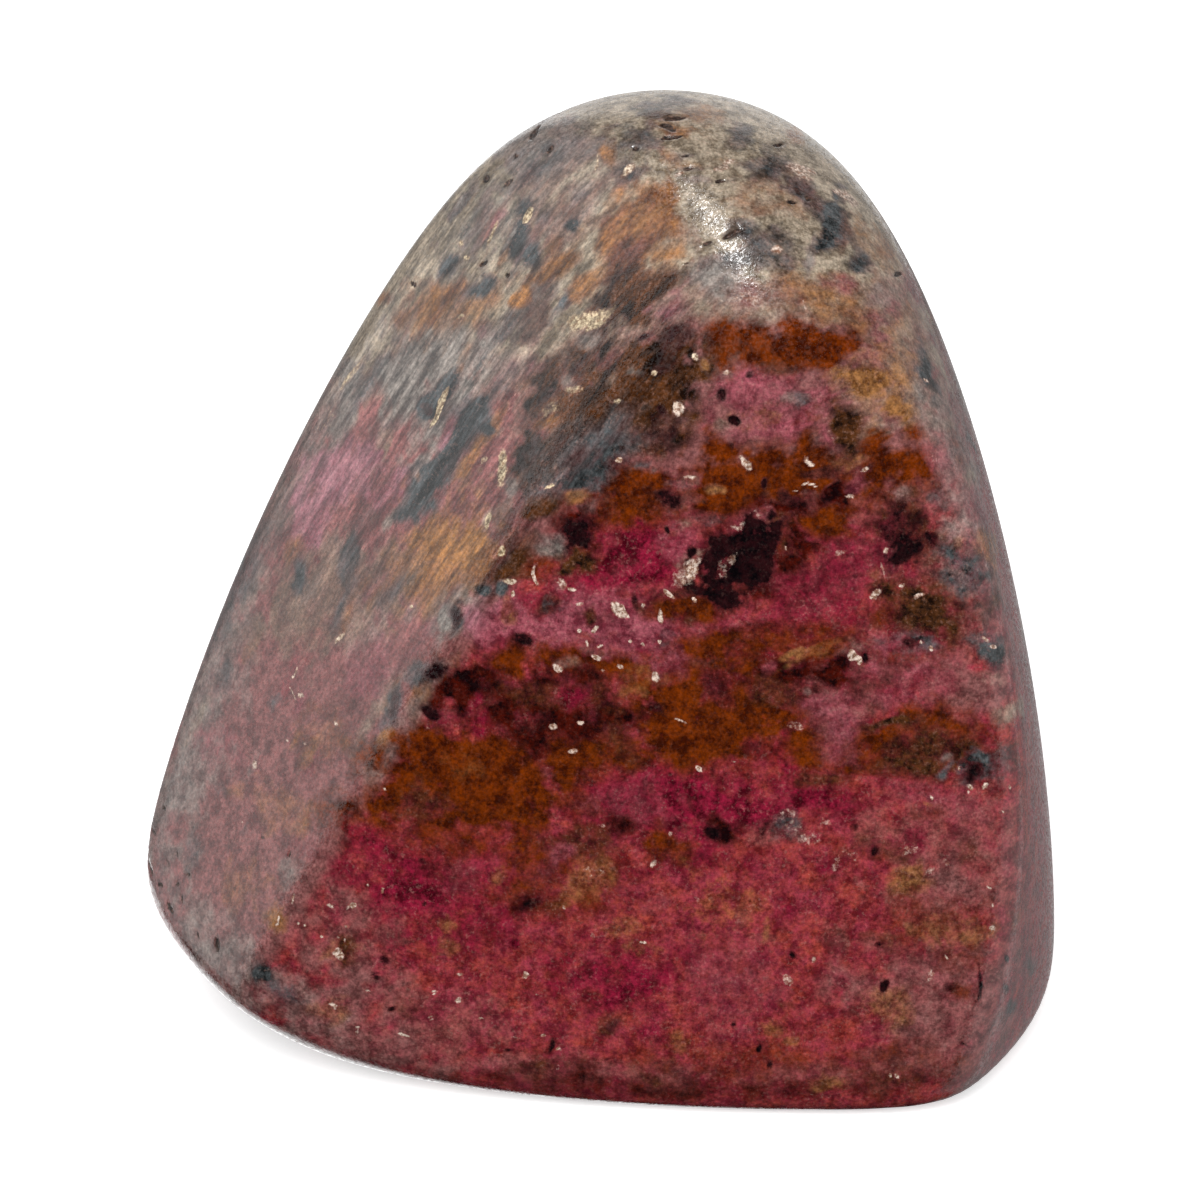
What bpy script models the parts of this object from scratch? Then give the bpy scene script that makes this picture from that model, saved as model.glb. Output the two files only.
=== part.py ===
"""Hand-polished rhodonite freeform: one solid piece of stone standing on a ground base.

The frame has Z up, the front face looking towards -Y and +X on the viewer's right.
The stone is the room left inside a set of slightly crowned flats, as they are ground
one after another on a wheel, with every edge eased by the final tumble and polish.
"""
import math

import bmesh
import bpy
import numpy as np
from mathutils import Vector

MM = 0.001

# Middle of the stone, in millimetres: every flat is measured out from here
CORE = (2.95, 4.9, 27.85)

# Angle round the stone of each flat's face, in degrees from the front (-Y), to the
# right positive; its tilt above the horizon, in degrees; its distance from the core,
# the radius of its crown and the easing of its edges, all three in millimetres
FLATS = {
    "front": (-4, 12, 26, 300, 0.6),
    "left": (-47, 29, 27, 400, 0.6),
    "shoulder": (-31, 30, 28, 200, 0.8),
    "crest": (16, 50, 38, 120, 2),
    "dome": (11, 76, 41, 30, 3),
    "right": (89, 13, 29, 200, 2.5),
    "right_back": (110, 16, 28.5, 150, 3),
    "back": (180, 6, 20, 200, 3),
    "left_back": (-123, 17, 25, 150, 3),
    "left_foot": (-66, -49, 42.5, 150, 2),
    "front_foot": (-11, -49, 40.5, 150, 1),
    "corner": (57, 0, 39, 150, 2),
    "base": (0, -90, 28, 4000, 1),
}

# The base is lapped dead flat, this much above its lowest point, in millimetres
LAP = 0.15

# Grid cells along each side of the six-sided block the stone is worked from
GRID = 60

# Share of the grid's triangles that is kept: the flats need few, the edges many
KEPT = 0.21

# Search for the surface along each line: how far out, in millimetres, and how finely
FARTHEST = 80
HALVINGS = 36


def face_direction(around, tilt):
    """Unit vector out of a flat, from its angle round the stone and its tilt."""
    around = math.radians(around)
    tilt = math.radians(tilt)
    return (
        math.sin(around) * math.cos(tilt),
        -math.cos(around) * math.cos(tilt),
        math.sin(tilt),
    )


def proud_of_stone(offsets):
    """How far each offset from the core, in millimetres, stands outside the stone."""
    steepest = np.full(len(offsets), -np.inf)
    total = np.zeros(len(offsets))
    for around, tilt, distance, crown, easing in FLATS.values():
        along = offsets @ np.array(face_direction(around, tilt))
        aside = (offsets ** 2).sum(axis=1) - along ** 2
        height = (along - distance + aside / (2 * crown)) / easing
        higher = np.maximum(steepest, height)
        total = total * np.exp(steepest - higher) + np.exp(height - higher)
        steepest = higher
    return steepest + np.log(total)


def surface_offsets(directions):
    """Where a line from the core leaves the stone, for each unit direction."""
    inner = np.zeros(len(directions))
    outer = np.full(len(directions), float(FARTHEST))
    for _ in range(HALVINGS):
        middle = (inner + outer) / 2
        inside = proud_of_stone(directions * middle[:, None]) < 0
        inner = np.where(inside, middle, inner)
        outer = np.where(inside, outer, middle)
    return directions * inner[:, None]


def make_block():
    """A cube whose sides carry an even grid, with corners no denser than middles."""
    block = bmesh.new()
    bmesh.ops.create_cube(block, size=2)
    bmesh.ops.subdivide_edges(block, edges=block.edges, cuts=GRID - 1, use_grid_fill=True)
    return block


def grind_to_flats(block):
    """Move every grid point straight out or in to the ground and polished surface."""
    points = np.array([vert.co[:] for vert in block.verts])
    directions = np.tan(points * math.pi / 4)
    directions /= np.linalg.norm(directions, axis=1)[:, None]
    placed = surface_offsets(directions) + np.array(CORE)
    for vert, place in zip(block.verts, placed):
        vert.co = place * MM


def thin_flats(stone):
    """Keep many small faces on the eased edges and few large ones on the flats."""
    thinned = stone.modifiers.new("thinned", "DECIMATE")
    thinned.ratio = KEPT
    finished = stone.evaluated_get(bpy.context.evaluated_depsgraph_get())
    stone.data = bpy.data.meshes.new_from_object(finished)
    stone.modifiers.remove(thinned)


def lap_base(mesh):
    """Bring the points of the base to one level, so the stone stands flat on it."""
    level = min(vert.co.z for vert in mesh.vertices) + LAP * MM
    for vert in mesh.vertices:
        vert.co.z = max(vert.co.z, level)


def stand_at_origin(mesh):
    """Put the origin at the middle of the footprint, on the base."""
    xs = [vert.co.x for vert in mesh.vertices]
    ys = [vert.co.y for vert in mesh.vertices]
    zs = [vert.co.z for vert in mesh.vertices]
    middle = ((min(xs) + max(xs)) / 2, (min(ys) + max(ys)) / 2, min(zs))
    for vert in mesh.vertices:
        vert.co -= Vector(middle)


def rhodonite_material():
    """Polished rose and rust brown stone, as one even colour."""
    material = bpy.data.materials.new("rhodonite")
    material.use_nodes = True
    shader = material.node_tree.nodes["Principled BSDF"]
    shader.inputs["Base Color"].default_value = (0.27, 0.11, 0.10, 1)
    shader.inputs["Roughness"].default_value = 0.3
    shader.inputs["Metallic"].default_value = 0
    return material


def make_stone():
    """The whole piece, as one closed solid."""
    block = make_block()
    grind_to_flats(block)
    bmesh.ops.recalc_face_normals(block, faces=block.faces)
    mesh = bpy.data.meshes.new("stone")
    block.to_mesh(mesh)
    block.free()
    mesh.materials.append(rhodonite_material())
    stone = bpy.data.objects.new("stone", mesh)
    bpy.context.scene.collection.objects.link(stone)
    thin_flats(stone)
    lap_base(stone.data)
    stand_at_origin(stone.data)


for left_over in list(bpy.data.objects):
    bpy.data.objects.remove(left_over)
make_stone()
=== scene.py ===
import math
import bmesh
import bpy
import numpy as np
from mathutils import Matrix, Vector, noise


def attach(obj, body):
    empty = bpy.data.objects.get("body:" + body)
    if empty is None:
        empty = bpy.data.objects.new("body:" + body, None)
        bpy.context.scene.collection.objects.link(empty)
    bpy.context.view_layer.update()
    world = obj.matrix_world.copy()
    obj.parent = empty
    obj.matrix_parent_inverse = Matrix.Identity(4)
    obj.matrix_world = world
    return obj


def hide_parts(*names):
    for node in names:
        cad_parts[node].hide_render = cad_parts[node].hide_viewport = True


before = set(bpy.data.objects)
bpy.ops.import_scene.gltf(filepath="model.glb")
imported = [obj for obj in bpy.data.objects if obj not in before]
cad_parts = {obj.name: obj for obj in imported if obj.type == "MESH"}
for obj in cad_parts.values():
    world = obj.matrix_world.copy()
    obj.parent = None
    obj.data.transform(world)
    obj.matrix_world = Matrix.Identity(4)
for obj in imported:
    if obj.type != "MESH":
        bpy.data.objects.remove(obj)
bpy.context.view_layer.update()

# The camera looks straight at the wide front face from 26 degrees above it and about
# 31 cm away, through a long lens, so that the stone fills a square picture.
MM = 0.001
picture_width = 1200
lens_length = 120
sensor_width = 36
camera_height = math.radians(26)
camera_distance = 308
aim = np.array((-0.45, 4.9, 27.55))
sight = np.array((0, math.cos(camera_height), -math.sin(camera_height)))
picture_right = np.array((1.0, 0, 0))
picture_up = np.cross(picture_right, sight)
camera_place = aim - sight * camera_distance
lens = bpy.data.cameras.new("camera")
lens.lens = lens_length
lens.sensor_width = sensor_width
camera = bpy.data.objects.new("camera", lens)
camera.location = Vector(camera_place) * MM
camera.rotation_euler = Vector(sight).to_track_quat("-Z", "Y").to_euler()
bpy.context.scene.collection.objects.link(camera)
bpy.context.scene.camera = camera

# The body of the stone: one piece of rough rhodonite ground on a wheel to a ring of
# slightly crowned flats, every edge then eased by tumbling and polishing by hand.
core = np.array((2.95, 4.9, 27.85))
ground_flats = {
    "front": (-4, 12, 26, 300, 0.6),
    "left": (-47, 29, 27, 400, 0.6),
    "shoulder": (-31, 30, 28, 200, 0.8),
    "crest": (16, 50, 38, 120, 2),
    "dome": (11, 76, 41, 30, 3),
    "right": (89, 13, 29, 200, 2.5),
    "right_back": (110, 16, 28.5, 150, 3),
    "back": (180, 6, 20, 200, 3),
    "left_back": (-123, 17, 25, 150, 3),
    "left_foot": (-66, -49, 42.5, 150, 2),
    "front_foot": (-11, -49, 40.5, 150, 1),
    "corner": (57, 0, 39, 150, 2),
    "base": (0, -90, 28, 4000, 1),
}
reach = 80
halvings = 36
slope_step = 0.02


def heading(around, tilt):
    """The direction at so many degrees around from the front, and so many up."""
    around = math.radians(around)
    tilt = math.radians(tilt)
    return np.array((math.sin(around) * math.cos(tilt), -math.cos(around) * math.cos(tilt), math.sin(tilt)))


def proud_of_stone(places):
    """How far places, in millimetres, stand outside the ground and polished surface."""
    offsets = places - core
    steepest = np.full(len(places), -np.inf)
    total = np.zeros(len(places))
    for around, tilt, distance, crown, easing in ground_flats.values():
        along = offsets @ heading(around, tilt)
        aside = (offsets ** 2).sum(axis=1) - along ** 2
        height = (along - distance + aside / (2 * crown)) / easing
        higher = np.maximum(steepest, height)
        total = total * np.exp(steepest - higher) + np.exp(height - higher)
        steepest = higher
    return steepest + np.log(total)


def surface_between(inner, outer):
    """Where the line from each inner place to its outer place leaves the stone."""
    for _ in range(halvings):
        middle = (inner + outer) / 2
        inside = (proud_of_stone(middle) < 0)[:, None]
        inner = np.where(inside, middle, inner)
        outer = np.where(inside, outer, middle)
    return inner


def facing(places):
    """The outward direction of the surface at each place."""
    slope = np.empty_like(places)
    for axis in range(3):
        step = np.zeros(3)
        step[axis] = slope_step
        slope[:, axis] = proud_of_stone(places + step) - proud_of_stone(places - step)
    return slope / np.linalg.norm(slope, axis=1)[:, None]


def sight_line(x, y):
    """The direction in which the camera sees a pixel, one millimetre deep."""
    pixel = sensor_width / lens_length / picture_width
    across = (x - picture_width / 2) * pixel
    down = (y - picture_width / 2) * pixel
    return sight + picture_right * across - picture_up * down


def seen_at(x, y):
    """The place on the stone that the camera sees at a pixel."""
    line = sight_line(x, y)
    depths = np.linspace(camera_distance - 60, camera_distance + 40, 400)
    hits = proud_of_stone(camera_place + line * depths[:, None]) < 0
    if not hits.any():
        raise ValueError("no stone at pixel %d, %d" % (x, y))
    first = int(np.argmax(hits))
    near = camera_place + line * depths[first - 1]
    far = camera_place + line * depths[first]
    return surface_between(far[None, :], near[None, :])[0]


# The colours of the rock: rose rhodonite, crimson where it is purest, rust and ochre where
# iron has stained it, slate, ash and drab host rock, black manganese oxide and cream veins.
# Some of the ash and mauve along the edges is painted reflection, some drab over the top
# is painted sheen, and the dark band along the bottom edge is painted shade.
# A patch is x1, y1, x2, y2, half its width, how strong: its long axis in picture pixels.
whole_stone = [
    # The broad drab over the top is partly painted sheen where the polish catches the light from above.
    ("drab", [(420, 400, 620, 120, 120, 0.5), (600, 190, 860, 190, 100, 1), (900, 420, 930, 300, 40, 0.7)]),
    ("slate", [(470, 260, 590, 120, 60, 0.34), (430, 330, 480, 230, 30, 0.3)]),
    # The second and third mauve patches, along the right edge, and the last, on the rounded lower-left edge,
    # are partly painted reflection of the pale surroundings.
    ("mauve", [(500, 240, 600, 150, 46, 0.45), (960, 420, 1010, 700, 30, 0.6),
               (1000, 760, 1030, 1000, 30, 0.3), (880, 960, 1020, 1050, 70, 0.7),
               (900, 900, 1000, 890, 30, 0.5), (260, 1000, 420, 1060, 50, 0.5)]),
    # The second and third ash patches, along the lower left edge and its rounding, and the fifth, along the
    # right edge, are partly painted reflection of the pale surroundings.
    ("ash", [(400, 420, 490, 300, 60, 0.6), (150, 870, 250, 560, 30, 0.5), (165, 900, 300, 1040, 30, 0.5),
             (250, 560, 330, 390, 20, 0.6), (940, 380, 1000, 600, 16, 0.4), (480, 170, 560, 110, 30, 0.6)]),
    ("drab", [(250, 620, 420, 560, 48, 0.5), (520, 350, 640, 300, 44, 0.7), (740, 285, 880, 290, 18, 0.7)]),
    ("ochre", [(390, 610, 480, 500, 46, 0.55), (740, 305, 900, 305, 30, 0.5),
               (880, 420, 915, 310, 30, 0.45), (420, 320, 520, 290, 30, 0.5)]),
    ("umber", [(560, 440, 690, 340, 62, 1), (520, 400, 620, 340, 36, 0.6), (600, 310, 680, 280, 30, 0.6)]),
    ("umber", [(250, 640, 400, 560, 40, 0.35), (200, 620, 330, 430, 14, 0.3),
               (300, 700, 380, 760, 26, 0.3)]),
    ("slate", [(520, 480, 650, 440, 38, 0.7), (405, 520, 490, 395, 15, 0.75),
               (330, 430, 420, 330, 10, 0.4)]),
    ("rust", [(700, 352, 860, 350, 32, 1)]),
    ("pink", [(700, 412, 850, 410, 36, 0.8), (280, 500, 400, 450, 34, 0.45),
              (200, 720, 400, 700, 60, 0.25)]),
    ("rust", [(640, 482, 920, 478, 46, 1), (560, 505, 700, 490, 34, 1), (470, 560, 570, 560, 26, 0.7)]),
    ("umber", [(900, 500, 910, 560, 44, 0.85), (850, 610, 980, 610, 32, 0.65)]),
    ("wine", [(690, 590, 860, 505, 46, 1), (545, 550, 610, 520, 36, 0.9)]),
    ("pink", [(470, 625, 740, 635, 42, 0.8), (860, 650, 970, 690, 44, 0.5)]),
    ("crimson", [(600, 590, 680, 530, 36, 0.95), (770, 620, 880, 575, 46, 0.4)]),
    ("wine", [(742, 522, 850, 492, 20, 0.8), (500, 735, 610, 720, 32, 0.85)]),
    ("rust", [(640, 605, 720, 608, 14, 0.9), (470, 675, 860, 662, 24, 1)]),
    ("wine", [(410, 700, 660, 716, 44, 1), (690, 682, 850, 674, 24, 0.95)]),
    ("rust", [(590, 728, 840, 735, 54, 1), (340, 800, 590, 778, 56, 1), (440, 745, 640, 765, 34, 0.9)]),
    ("mauve", [(810, 740, 880, 690, 34, 0.75), (900, 690, 990, 700, 36, 0.35)]),
    ("rust", [(850, 750, 1000, 750, 34, 0.8)]),
    ("umber", [(890, 758, 1010, 762, 28, 0.55)]),
    ("crimson", [(575, 805, 790, 800, 36, 0.9), (320, 900, 560, 880, 60, 0.5),
                 (555, 985, 680, 985, 34, 0.6), (640, 845, 760, 855, 30, 0.4)]),
    ("rust", [(500, 890, 620, 850, 34, 0.6), (400, 840, 480, 830, 20, 0.5),
              (640, 1075, 960, 1072, 22, 0.35), (880, 930, 1000, 925, 26, 0.35)]),
    # Both mauve patches lie on the rounded lower-left edge and are partly painted reflection of the pale
    # floor.
    ("mauve", [(295, 935, 385, 965, 44, 0.6), (240, 985, 400, 1045, 26, 0.5)]),
    ("mauve", [(420, 1060, 700, 1072, 12, 0.5), (700, 1075, 960, 1070, 12, 0.4),
               (330, 1010, 520, 1040, 26, 0.3), (880, 820, 1000, 850, 40, 0.35)]),
    # A dark wine band along the bottom edge: painted shade where the rounded foot turns under.
    ("wine", [(420, 1088, 900, 1098, 9, 0.5)]),
]
crown = [
    ("slate", [(500, 175, 600, 130, 30, 0.25), (610, 140, 655, 140, 20, 0.5), (466, 195, 451, 219, 5, 0.7),
               (525, 232, 525, 265, 16, 0.75), (564, 226, 580, 226, 6, 0.8), (455, 255, 441, 280, 7, 0.8),
               (550, 208, 540, 222, 7, 0.6), (530, 192, 518, 210, 7, 0.55), (495, 277, 467, 307, 8, 0.8),
               (558, 302, 572, 302, 6, 0.6), (618, 177, 634, 177, 6, 0.75), (500, 330, 565, 285, 20, 0.55),
               (585, 190, 570, 205, 6, 0.45), (730, 134, 754, 134, 13, 0.55), (738, 168, 792, 166, 14, 0.5),
               (742, 246, 803, 242, 19, 0.6), (420, 300, 405, 325, 8, 0.5), (640, 108, 700, 100, 8, 0.5),
               (560, 150, 535, 175, 8, 0.4)]),
    ("ochre", [(618, 266, 660, 190, 36, 0.8), (598, 260, 572, 302, 15, 0.7), (527, 287, 511, 310, 6, 1),
               (405, 330, 455, 285, 27, 0.5), (590, 245, 535, 275, 9, 0.75), (605, 143, 605, 161, 7, 0.7),
               (652, 157, 682, 157, 10, 0.35), (670, 115, 730, 115, 12, 0.35),
               (745, 202, 808, 200, 18, 0.25), (795, 125, 800, 142, 12, 0.45),
               (862, 225, 888, 262, 14, 0.35), (560, 240, 545, 262, 7, 0.5)]),
    ("drab", [(690, 160, 745, 158, 14, 0.8), (700, 200, 712, 240, 12, 0.6), (780, 150, 830, 160, 10, 0.6),
              (800, 226, 812, 280, 8, 0.7)]),
    ("mauve", [(730, 210, 800, 205, 16, 0.2), (760, 185, 790, 190, 9, 0.2), (690, 215, 700, 260, 12, 0.4)]),
    ("slate", [(786, 176, 846, 236, 8, 0.6), (700, 262, 730, 285, 16, 0.45)]),
    ("mauve", [(880, 270, 925, 340, 16, 0.4), (745, 290, 800, 290, 14, 0.45)]),
    ("rust", [(622, 258, 655, 200, 22, 0.35)]),
    ("umber", [(610, 306, 668, 272, 28, 0.7), (515, 332, 560, 292, 18, 0.5), (780, 167, 812, 190, 6, 0.3),
               (812, 190, 838, 222, 6, 0.3)]),
    ("pink", [(650, 312, 694, 308, 15, 0.7), (478, 325, 484, 340, 5, 0.5), (826, 283, 860, 283, 10, 0.6),
              (728, 303, 762, 300, 19, 0.6)]),
    ("slate", [(846, 200, 822, 258, 15, 0.9), (850, 256, 872, 268, 8, 0.8)]),
    ("umber", [(852, 206, 838, 254, 7, 0.6)]),
    ("ash", [(515, 232, 499, 256, 3, 0.9), (464, 197, 454, 213, 3, 0.8), (690, 268, 730, 296, 18, 0.75),
             (812, 230, 812, 276, 4, 0.6), (860, 300, 905, 300, 10, 0.3)]),
    ("cream", [(562, 332, 610, 316, 9, 0.8), (620, 173, 640, 166, 3, 0.75), (672, 178, 686, 172, 3, 0.75),
               (531, 209, 521, 226, 3.5, 1), (461, 258, 471, 258, 3, 1), (497, 225, 486, 250, 3, 0.75),
               (461, 239, 461, 246, 3, 0.8), (457, 316, 465, 316, 3, 0.8), (600, 153, 594, 170, 2.5, 0.8),
               (707, 172, 742, 156, 5, 0.6), (786, 166, 820, 176, 7, 0.7), (828, 184, 860, 206, 6, 0.65),
               (771, 250, 783, 250, 5, 0.9), (700, 300, 800, 298, 7, 0.5), (803, 300, 806, 322, 3, 0.7)]),
    ("pit", [(539, 126, 527, 139, 2.6, 1), (555, 113, 565, 111, 3, 1), (492, 174, 482, 182, 3, 1),
             (515, 175, 500, 191, 2.5, 0.8), (557, 141, 545, 156, 3, 1), (511, 155, 519, 155, 3, 0.8),
             (656, 125, 672, 124, 2.8, 1), (665, 119, 685, 116, 2.4, 1), (661, 142, 685, 134, 2.4, 1),
             (632, 150, 641, 147, 3, 1), (679, 156, 688, 155, 2.6, 0.8), (684, 169, 696, 168, 4, 0.7),
             (410, 286, 418, 282, 3, 0.8), (503, 277, 511, 273, 3, 0.8), (490, 259, 476, 269, 2.8, 0.9),
             (772, 144, 783, 144, 3, 0.9), (786, 201, 794, 201, 2.5, 0.8), (803, 198, 811, 198, 2.5, 0.8),
             (683, 262, 691, 262, 2.5, 0.8), (712, 181, 728, 180, 1.8, 0.8), (895, 272, 903, 273, 2.5, 0.8),
             (699, 244, 716, 242, 3, 1), (716, 238, 743, 233, 3.5, 1)]),
]
left_face = [
    ("ash", [(385, 400, 470, 335, 34, 0.8), (362, 375, 327, 450, 9, 0.6), (342, 360, 334, 378, 6, 0.6),
             (437, 440, 410, 480, 6, 0.6)]),
    ("pink", [(530, 340, 495, 395, 14, 0.35), (545, 370, 522, 366, 9, 0.4), (540, 425, 515, 428, 12, 0.3)]),
    ("slate", [(462, 365, 425, 412, 8, 0.8), (430, 403, 421, 413, 6, 0.8), (494, 425, 486, 434, 6, 0.7),
               (448, 436, 485, 400, 16, 0.7), (440, 460, 420, 512, 17, 0.75),
               (415, 500, 396, 528, 11, 0.75), (300, 552, 301, 586, 7, 0.75), (356, 532, 346, 590, 9, 0.6),
               (262, 525, 212, 640, 9, 0.55), (228, 650, 220, 690, 8, 0.5), (403, 678, 386, 728, 9, 0.7),
               (400, 682, 442, 666, 9, 0.6), (465, 604, 450, 630, 7, 0.8), (200, 835, 192, 870, 9, 0.35),
               (225, 785, 212, 800, 8, 0.3)]),
    ("cream", [(446, 394, 432, 426, 3.5, 0.9), (340, 405, 308, 440, 8, 0.45), (370, 345, 335, 400, 3, 0.6),
               (505, 440, 500, 484, 8, 0.95), (486, 452, 482, 468, 5, 0.7)]),
    ("pink", [(310, 485, 385, 452, 22, 0.85), (374, 458, 388, 452, 6, 0.9), (292, 540, 333, 485, 20, 0.85),
              (372, 508, 400, 478, 15, 0.8), (455, 424, 437, 452, 6, 0.8), (490, 545, 506, 540, 8, 0.7),
              (305, 545, 318, 522, 9, 0.8), (340, 700, 380, 640, 26, 0.6), (200, 722, 246, 748, 22, 0.45),
              (290, 770, 320, 790, 16, 0.35), (230, 850, 262, 872, 16, 0.35),
              (300, 860, 320, 840, 16, 0.5)]),
    ("umber", [(508, 475, 588, 445, 24, 0.95), (548, 470, 590, 450, 16, 0.9), (556, 425, 590, 405, 16, 0.7),
               (525, 512, 560, 508, 11, 0.8), (470, 520, 560, 560, 16, 0.5)]),
    ("black", [(463, 602, 451, 628, 5, 0.75), (480, 594, 512, 588, 6, 0.75), (398, 688, 391, 716, 5, 0.6),
               (560, 468, 592, 450, 9, 0.7), (557, 552, 592, 530, 18, 0.9), (436, 662, 437, 678, 8, 0.9),
               (418, 706, 440, 718, 6, 0.8), (426, 404, 427, 412, 4, 0.6)]),
    ("ochre", [(540, 422, 556, 400, 9, 0.8), (556, 400, 590, 395, 8, 0.8), (400, 545, 488, 520, 22, 0.6),
               (282, 555, 300, 540, 10, 0.45), (262, 905, 280, 935, 8, 0.6), (255, 800, 305, 822, 24, 0.3),
               (225, 790, 240, 800, 8, 0.4), (225, 880, 262, 900, 18, 0.35), (300, 720, 340, 745, 22, 0.2),
               (400, 590, 470, 560, 26, 0.4), (388, 725, 378, 750, 6, 0.6)]),
    ("ash", [(530, 540, 560, 552, 13, 0.7), (505, 484, 520, 486, 7, 0.7), (445, 602, 440, 632, 5, 0.7),
             (290, 858, 285, 880, 9, 0.35)]),
    ("slate", [(250, 978, 274, 962, 13, 0.95), (262, 980, 292, 996, 8, 0.75)]),
    ("cream", [(492, 512, 484, 527, 3, 1), (496, 552, 508, 551, 5, 1), (546, 487, 556, 485, 2.5, 0.8),
               (345, 633, 334, 644, 2.5, 0.9), (414, 604, 408, 609, 1.8, 0.9), (253, 760, 256, 768, 3, 1),
               (298, 694, 303, 694, 2.2, 1), (334, 722, 338, 724, 2, 0.8), (285, 739, 289, 741, 2, 0.8),
               (303, 745, 307, 743, 1.8, 0.7), (240, 824, 245, 822, 1.8, 0.7),
               (301, 667, 289, 684, 1.2, 0.9), (289, 684, 296, 702, 1.2, 0.9),
               (560, 392, 590, 387, 6, 0.85), (546, 414, 562, 398, 4, 0.7)]),
    ("pit", [(160, 806, 165, 812, 2, 0.8), (157, 880, 161, 892, 2, 1), (174, 882, 179, 888, 2.2, 1),
             (183, 894, 180, 906, 1.8, 0.9), (165, 898, 174, 920, 1.8, 0.9), (218, 935, 216, 952, 2.6, 1),
             (163, 850, 170, 870, 1.6, 0.7), (148, 862, 152, 876, 1.4, 0.8), (176, 850, 178, 862, 1.4, 0.7),
             (186, 872, 190, 880, 1.4, 0.7), (150, 830, 156, 836, 1.4, 0.7), (196, 930, 200, 940, 1.6, 0.8),
             (190, 826, 196, 828, 1.2, 0.6), (260, 835, 264, 839, 2, 0.7), (291, 848, 289, 858, 1.8, 0.7)]),
]
front_top = [
    ("rust", [(703, 352, 740, 352, 16, 1), (756, 360, 790, 358, 16, 0.95), (785, 340, 860, 360, 22, 0.7)]),
    ("drab", [(722, 312, 862, 310, 8, 0.4), (895, 330, 912, 345, 12, 0.4)]),
    ("umber", [(652, 360, 690, 345, 18, 0.95), (620, 440, 690, 360, 24, 0.7),
               (756, 372, 790, 370, 8, 0.5)]),
    ("umber", [(640, 420, 690, 340, 34, 0.9), (560, 420, 620, 400, 24, 0.8)]),
    ("slate", [(540, 470, 640, 440, 26, 0.5), (560, 478, 610, 480, 14, 0.65)]),
    ("black", [(664, 338, 700, 322, 12, 0.75), (640, 336, 650, 336, 4, 0.8), (656, 366, 686, 352, 8, 0.5),
               (658, 412, 667, 411, 5, 0.7), (645, 440, 680, 405, 7, 0.6), (664, 452, 677, 448, 6, 0.7)]),
    ("ash", [(578, 345, 602, 335, 10, 0.7), (560, 385, 575, 380, 9, 0.6), (630, 378, 642, 366, 8, 0.7)]),
    ("pink", [(704, 395, 770, 385, 18, 0.6), (700, 430, 790, 425, 26, 0.5), (770, 430, 806, 430, 16, 0.7),
              (812, 395, 836, 398, 8, 0.6)]),
    ("ochre", [(842, 378, 898, 385, 16, 0.95), (882, 402, 904, 418, 13, 1), (710, 363, 700, 367, 4, 0.8),
               (918, 378, 936, 382, 8, 0.7), (565, 500, 588, 498, 8, 0.7)]),
    ("umber", [(838, 430, 862, 428, 24, 0.95), (598, 505, 625, 505, 12, 0.7)]),
    ("black", [(715, 393, 726, 400, 5, 0.8), (727, 419, 741, 419, 6, 1), (746, 375, 754, 375, 4, 0.7),
               (728, 447, 736, 447, 4, 0.7), (760, 482, 768, 482, 5, 0.9), (743, 497, 751, 497, 4, 0.8),
               (640, 512, 680, 495, 12, 0.9), (848, 440, 852, 420, 8, 0.6), (775, 500, 795, 500, 9, 0.6),
               (760, 515, 775, 514, 6, 0.8)]),
    ("slate", [(925, 358, 934, 396, 9, 0.8), (964, 432, 976, 448, 9, 0.6), (795, 392, 806, 402, 6, 0.5),
               (928, 492, 950, 508, 14, 0.55)]),
    ("ash", [(906, 385, 930, 398, 9, 0.5), (896, 486, 908, 498, 8, 0.5), (940, 500, 960, 556, 18, 0.4)]),
    ("rust", [(700, 480, 745, 470, 34, 0.95), (786, 462, 836, 462, 14, 0.9), (880, 470, 920, 455, 16, 0.75),
              (800, 520, 860, 512, 14, 0.85), (700, 500, 706, 512, 10, 0.8)]),
    ("ochre", [(706, 488, 720, 492, 6, 0.7), (976, 532, 1000, 565, 13, 0.6), (820, 522, 836, 524, 6, 0.6)]),
    ("black", [(800, 476, 836, 470, 6, 0.6), (884, 556, 926, 520, 22, 0.85), (885, 545, 915, 560, 10, 0.9),
               (930, 530, 938, 545, 6, 0.7)]),
    ("pink", [(850, 486, 868, 484, 9, 0.7), (925, 455, 956, 455, 14, 0.6), (965, 480, 985, 520, 12, 0.6),
              (815, 430, 838, 436, 8, 0.7), (735, 545, 765, 508, 16, 0.8)]),
    ("cream", [(672, 404, 684, 410, 6, 1), (650, 371, 658, 374, 3, 0.9), (691, 356, 699, 356, 2.5, 0.9),
               (723, 372, 731, 372, 2.5, 0.8), (614, 460, 624, 460, 4, 1), (744, 458, 750, 470, 5, 1),
               (803, 465, 817, 464, 2.6, 0.9), (799, 486, 808, 482, 2.5, 0.9), (808, 482, 815, 488, 2, 0.9),
               (791, 491, 801, 491, 2.5, 0.8), (682, 478, 698, 475, 1.8, 0.8),
               (860, 470, 870, 470, 2.5, 0.8), (846, 497, 854, 497, 2.5, 0.8),
               (818, 521, 826, 521, 2.5, 0.8), (612, 402, 622, 402, 3, 0.8), (922, 379, 930, 380, 2.5, 0.8),
               (735, 535, 746, 520, 8, 0.75), (720, 554, 729, 553, 6, 0.95), (748, 508, 762, 520, 6, 0.6),
               (830, 437, 838, 434, 4, 0.6), (930, 460, 950, 450, 7, 0.4)]),
]
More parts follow.
